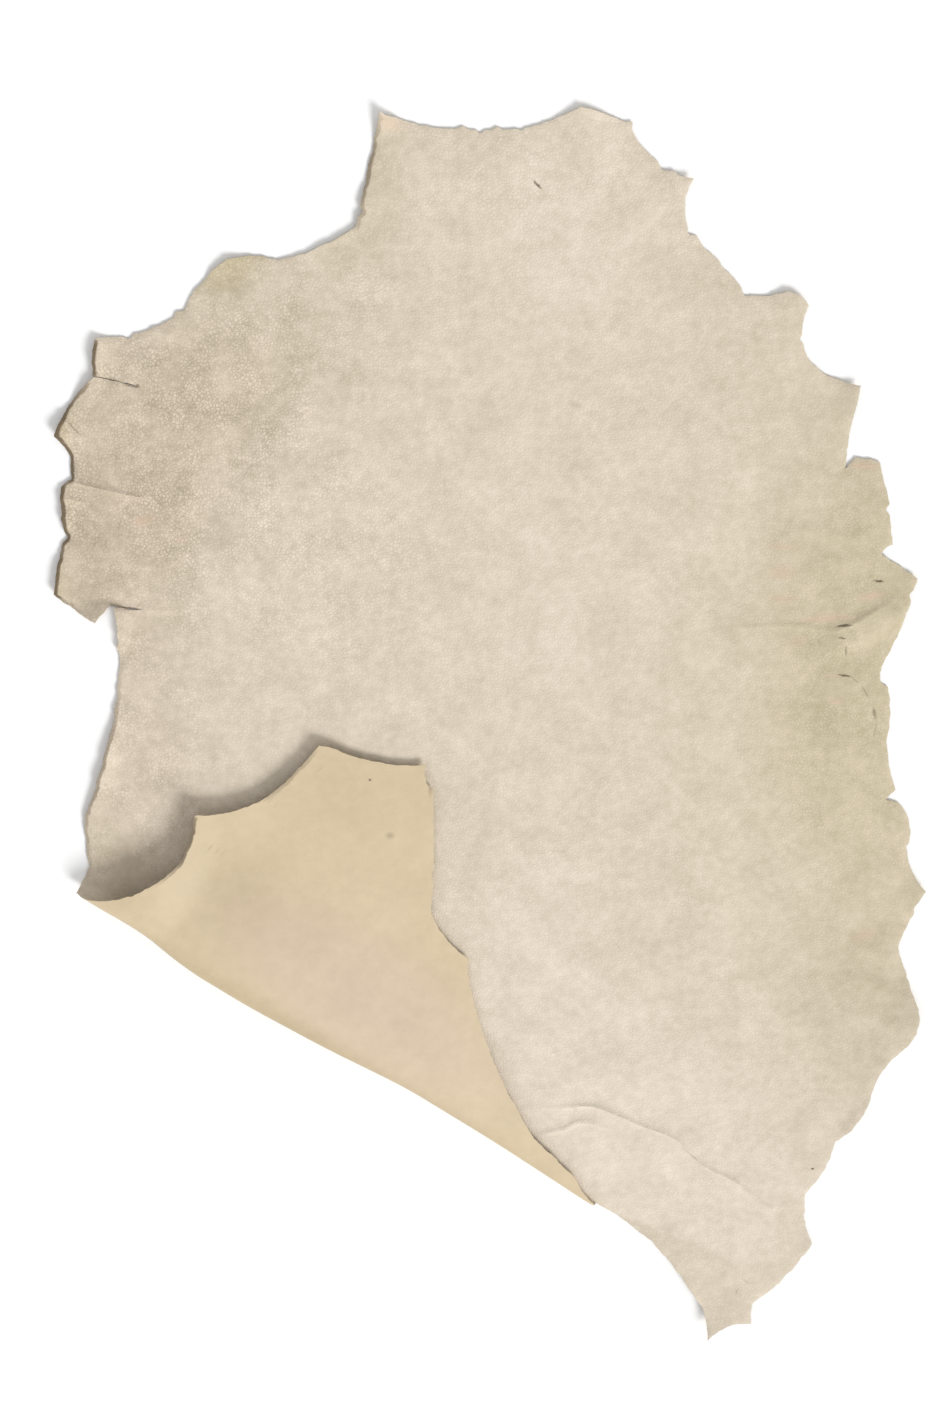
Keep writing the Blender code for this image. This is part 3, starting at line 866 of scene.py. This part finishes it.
def mark_group():
    """One small mark with a ragged rim, laid over the marks that are there already."""
    inputs = (("Marks so far", "NodeSocketFloat", 0.0), ("Place", "NodeSocketVector", (0.0, 0.0, 0.0)),
              ("Turn", "NodeSocketVector", (0.0, 0.0, 0.0)), ("Size", "NodeSocketVector", (1.0, 1.0, 1.0)),
              ("Depth", "NodeSocketFloat", 1.0), ("Softness", "NodeSocketFloat", 0.5))
    group, given, result = new_group("leather_mark", inputs, (("Marks", "NodeSocketFloat"),))
    place = object_place(group)
    ragged = add_node(group, "ShaderNodeTexNoise", {"Vector": place, "Scale": 900.0, "Detail": 2.0})
    shift = vector_maths(group, "SUBTRACT", ragged.outputs["Color"], (0.5, 0.5, 0.5))
    shift = vector_maths(group, "MULTIPLY", shift, (MARK_RAGGEDNESS, MARK_RAGGEDNESS, 0.0))
    moved = vector_maths(group, "ADD", place, shift)
    centred = add_node(group, "ShaderNodeMapping",
                       {"Vector": moved, "Location": given.outputs["Place"],
                        "Rotation": given.outputs["Turn"], "Scale": given.outputs["Size"]},
                       vector_type="TEXTURE")
    level = vector_maths(group, "MULTIPLY", centred.outputs[0], (1.0, 1.0, 0.0))
    away = add_node(group, "ShaderNodeVectorMath", {0: level}, operation="LENGTH")
    inner = calculate(group, "SUBTRACT", 1.0, given.outputs["Softness"])
    mask = add_node(group, "ShaderNodeMapRange",
                    {"Value": away.outputs["Value"], "From Min": 1.0, "From Max": inner,
                     "To Min": 0.0, "To Max": given.outputs["Depth"]}, clamp=True)
    most = calculate(group, "MAXIMUM", given.outputs["Marks so far"], mask.outputs["Result"])
    group.links.new(most, result.inputs["Marks"])
    return group


# Small marks in millimetres: nicks, pricks and scars of the living animal, and the stains and scratches of
# its handling. Some nap marks are painted shade: in the slits, in the foreleg curl and at the rump crease's
# deep end.
Mark = namedtuple("Mark", "name x y length width turn depth softness")
NAP_MARKS_AND_PAINTED_SHADE = (
    Mark("cut in the neck", 23, 383, 9, 2.0, -45, 0.75, 0.5),
    Mark("smudge on the back", 48, 246, 12, 7, -20, 0.20, 0.9),
    Mark("chest dash", 246, 131, 8.5, 1.7, -4, 0.85, 0.5),
    Mark("side dash, top", 225, 101.5, 12, 1.9, 8, 0.80, 0.5),
    Mark("side dash, second", 224, 93, 6, 1.6, -6, 0.65, 0.5),
    Mark("side dash, third", 227, 84, 1.7, 11, 4, 0.45, 0.6),
    Mark("side dash, low", 227, 67, 11.5, 1.7, -8, 0.80, 0.5),
    Mark("scar, top", 234, 64, 9, 1.5, -38, 0.28, 0.6),
    Mark("scar, bend", 241, 56, 12, 1.6, -58, 0.30, 0.6),
    Mark("scar, middle", 248, 41, 11, 3.0, -78, 0.50, 0.7),
    Mark("scar, low", 249, 28, 12, 1.5, 82, 0.28, 0.6),
    Mark("rump prick", 222, -296, 2.6, 2.2, 0, 0.8, 0.5),
    # Painted shade in the rump crease's deepest part.
    Mark("deep end of the rump crease", 137, -285, 15, 1.5, -42, 0.32, 0.7),
    Mark("tail scratch, upper", 178, -386, 8, 1.3, -40, 0.25, 0.6),
    Mark("tail scratch, lower", 172, -394, 6, 1.6, 70, 0.30, 0.6),
    # Painted shade: these five marks darken the slits, the lobe above the left slit and the foreleg curl.
    Mark("painted shade above the slit", -252, 115, 30, 11, -6, 0.32, 0.95),
    Mark("mouth of the slit", -239, 112.6, 18, 2.6, -4, 0.60, 0.8),
    Mark("inside of the foreleg curl", -277, 239, 15, 3.2, -48, 0.35, 0.8),
    Mark("end of the foreleg slit", -233, 258.5, 12, 2.0, -12, 0.55, 0.7),
    Mark("foreleg curl line", -270, 232, 15, 1.5, -52, 0.40, 0.6),
)
STAINS = (
    Mark("neck tip", -68, 420, 26, 12, -18, 0.70, 0.9),
    Mark("foreleg step", 233, 207, 22, 6, -4, 1.00, 0.6),
    Mark("left chest", -228, 171, 20, 9, 12, 0.80, 0.9),
    Mark("left chest, small", -205, 158, 12, 6, 0, 0.60, 0.9),
    Mark("right chest, upper", 182, 154, 24, 6, 0, 0.70, 0.8),
    Mark("right chest, lower", 183, 137, 22, 12, 0, 0.70, 0.8),
    Mark("right side, upper", 184, 119, 24, 6, 0, 0.60, 0.8),
    Mark("right side crease", 214, 106, 44, 7, 4, 0.80, 0.9),
    Mark("foreleg tip, under", 242, 121, 24, 7, 12, 0.80, 0.9),
    Mark("side ring, upper", 219, 67, 16, 3, 0, 0.60, 0.8),
    Mark("side ring, lower", 222, 49, 12, 6, 0, 0.60, 0.8),
    Mark("right side, inner", 196, 90, 16, 8, 0, 0.50, 0.9),
    Mark("right thigh", 249, -118, 22, 9, 20, 0.70, 0.9),
)
GRAIN_MARKS = (
    Mark("prick by the flap's top", -85, -4, 2.8, 2.4, 0, 0.8, 0.5),
    Mark("dim spot", -72, -44, 8, 6.5, 0, 0.35, 0.8),
    Mark("dark inner corner", -45, -8, 4, 22, 0, 0.45, 0.8),
    Mark("scuff, left", -192, -50, 9, 0.8, 48, 0.30, 0.6),
    Mark("scuff, left, second", -188, -53, 9, 0.8, 46, 0.26, 0.6),
    Mark("scuff, left, third", -184, -55, 8, 0.8, 50, 0.22, 0.6),
    Mark("scuff, top", -151, -17, 9, 0.8, 50, 0.30, 0.6),
    Mark("scuff, top, second", -147, -20, 8, 0.8, 52, 0.24, 0.6),
    Mark("scuff by the tip", -118, 4, 10, 0.9, 38, 0.20, 0.6),
)


def marks_on(tree, group, table):
    """Every mark of a table, as one mask."""
    marks = 0.0
    for row in table:
        place = ((row.x - LAID_MIDDLE[0]) * MM, (row.y - LAID_MIDDLE[1]) * MM, 0.0)
        size = (row.length * MM / 2.0, row.width * MM / 2.0, 1.0)
        turn = (0.0, 0.0, math.radians(row.turn))
        marks = use_group(tree, group, {"Marks so far": marks, "Place": place, "Turn": turn, "Size": size,
                                        "Depth": row.depth, "Softness": row.softness}).outputs["Marks"]
    return marks


def new_material(name):
    material = bpy.data.materials.new(name)
    material.use_nodes = True
    return material, material.node_tree, material.node_tree.nodes["Principled BSDF"]


def suede_nap(dye, mark):
    """The buffed flesh side: a short pale nap that lies in little curls."""
    material, tree, shader = new_material("suede_nap")
    place = object_place(tree)
    cloud = use_group(tree, dye, {"Patch": 0.028, "Fleck": 0.006}).outputs["Value"]
    tone, nap = leather_tone(tree, cloud, 0.9, NAP_COLOUR, NAP_DARK_TONE_AND_SHADE)
    wander = add_node(tree, "ShaderNodeTexNoise", {"Vector": place, "Scale": 330.0, "Detail": 2.0})
    bend = (CURL_BEND, CURL_BEND, CURL_BEND)
    bent = vector_maths(tree, "MULTIPLY_ADD", wander.outputs["Color"], bend, place)
    curls = add_node(tree, "ShaderNodeTexVoronoi", {"Vector": bent, "Scale": 460.0},
                     feature="DISTANCE_TO_EDGE").outputs["Distance"]
    gaps = remap(tree, curls, 0.02, 0.24)
    fuzz = noise_value(tree, place, 1500.0, 3.0, 0.7)
    fine = calculate(tree, "SUBTRACT", noise_value(tree, place, 640.0, 2.0, 0.65), 0.5)
    specks = calculate(tree, "MULTIPLY_ADD", calculate(tree, "SUBTRACT", gaps, 0.55), 0.6, fine)
    patchy = remap(tree, noise_value(tree, place, 42.0), 0.36, 0.64, 0.35, 1.3)
    standing = calculate(tree, "MULTIPLY", calculate(tree, "ADD", nap, 0.22), patchy)
    specks = calculate(tree, "MULTIPLY", calculate(tree, "MULTIPLY", specks, standing), 0.26)
    uneven = calculate(tree, "MULTIPLY_ADD", nap, 0.22, 0.14)
    light = calculate(tree, "MULTIPLY_ADD", cloud, uneven, 1.0)
    light = calculate(tree, "MULTIPLY_ADD", calculate(tree, "SUBTRACT", fuzz, 0.5), 0.08, light)
    tone = vector_maths(tree, "MULTIPLY", tone, light)
    colour = vector_maths(tree, "MULTIPLY_ADD", specks, COLOURLESS, tone)
    blotchy = remap(tree, cloud, -0.3, 0.3, 0.5, 1.0)
    stains = calculate(tree, "MULTIPLY", marks_on(tree, mark, STAINS), blotchy)
    colour = mix_colours(tree, stains, colour, STAIN_COLOUR)
    # The nap marks, painted shade among them, darken the colour over the rim's painted shade.
    marks = marks_on(tree, mark, NAP_MARKS_AND_PAINTED_SHADE)
    colour = mix_colours(tree, marks, shade_the_rim(tree, colour), NAP_MARK_AND_SHADE_COLOUR)
    tree.links.new(colour, shader.inputs["Base Color"])
    height = calculate(tree, "MULTIPLY_ADD", fuzz, 0.6, gaps)
    height = calculate(tree, "SUBTRACT", height, marks)
    bump = add_node(tree, "ShaderNodeBump", {"Height": height, "Strength": 0.35, "Distance": NAP_DEPTH})
    tree.links.new(bump.outputs["Normal"], shader.inputs["Normal"])
    shader.inputs["Roughness"].default_value = 0.95
    shader.inputs["Specular IOR Level"].default_value = 0.15
    shader.inputs["Sheen Weight"].default_value = 0.25
    shader.inputs["Sheen Roughness"].default_value = 0.55
    shader.inputs["Sheen Tint"].default_value = (1.0, 0.95, 0.88, 1.0)
    return material


def smooth_grain(dye, mark):
    """The smooth hair side: beige, faintly clouded, with fine pores."""
    material, tree, shader = new_material("smooth_grain")
    place = object_place(tree)
    cloud = use_group(tree, dye, {"Patch": 0.035, "Fleck": 0.008}).outputs["Value"]
    tone, _ = leather_tone(tree, cloud, 0.3, GRAIN_COLOUR, GRAIN_DARK_TONE_AND_SHADE)
    pores = add_node(tree, "ShaderNodeTexVoronoi", {"Vector": place, "Scale": 900.0}).outputs["Distance"]
    pores = remap(tree, pores, 0.05, 0.35)
    light = calculate(tree, "MULTIPLY_ADD", cloud, 0.10, 1.0)
    tone = vector_maths(tree, "MULTIPLY", tone, light)
    grain = calculate(tree, "MULTIPLY_ADD", pores, 0.4, noise_value(tree, place, 520.0, 3.0, 0.6))
    grain = calculate(tree, "MULTIPLY", calculate(tree, "SUBTRACT", grain, 0.88), 0.05)
    colour = shade_the_rim(tree, vector_maths(tree, "MULTIPLY_ADD", grain, COLOURLESS, tone))
    marks = marks_on(tree, mark, GRAIN_MARKS)
    colour = mix_colours(tree, marks, colour, GRAIN_MARK_COLOUR)
    tree.links.new(colour, shader.inputs["Base Color"])
    tree.links.new(remap(tree, cloud, -0.4, 0.4, 0.42, 0.58), shader.inputs["Roughness"])
    height = calculate(tree, "SUBTRACT", calculate(tree, "MULTIPLY_ADD", cloud, 1.5, pores), marks)
    bump = add_node(tree, "ShaderNodeBump", {"Height": height, "Strength": 0.3, "Distance": PORE_DEPTH})
    tree.links.new(bump.outputs["Normal"], shader.inputs["Normal"])
    shader.inputs["Specular IOR Level"].default_value = 0.35
    return material


def cut_rim(dye):
    """The raw cut edge: loose pale fibre, a little greyed by handling."""
    material, tree, shader = new_material("cut_rim")
    place = object_place(tree)
    cloud = use_group(tree, dye, {"Patch": 0.02, "Fleck": 0.002}).outputs["Value"]
    light = calculate(tree, "MULTIPLY_ADD", cloud, 0.35, 1.0)
    colour = shade_the_rim(tree, vector_maths(tree, "MULTIPLY", RAW_COLOUR, light))
    tree.links.new(colour, shader.inputs["Base Color"])
    fibres = add_node(tree, "ShaderNodeTexNoise", {"Vector": place, "Scale": 2600.0, "Detail": 3.0})
    bump = add_node(tree, "ShaderNodeBump",
                    {"Height": fibres.outputs["Fac"], "Strength": 0.7, "Distance": FIBRE_DEPTH})
    tree.links.new(bump.outputs["Normal"], shader.inputs["Normal"])
    shader.inputs["Roughness"].default_value = 0.95
    shader.inputs["Specular IOR Level"].default_value = 0.2
    return material


skin = cut_and_lay_skin()
uneven_dye = mottling_group()
leather_mark = mark_group()
for leather_side in (suede_nap(uneven_dye, leather_mark), smooth_grain(uneven_dye, leather_mark),
                     cut_rim(uneven_dye)):
    skin.data.materials.append(leather_side)
give_thickness(skin)
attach(skin, "root")
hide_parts("goatskin")
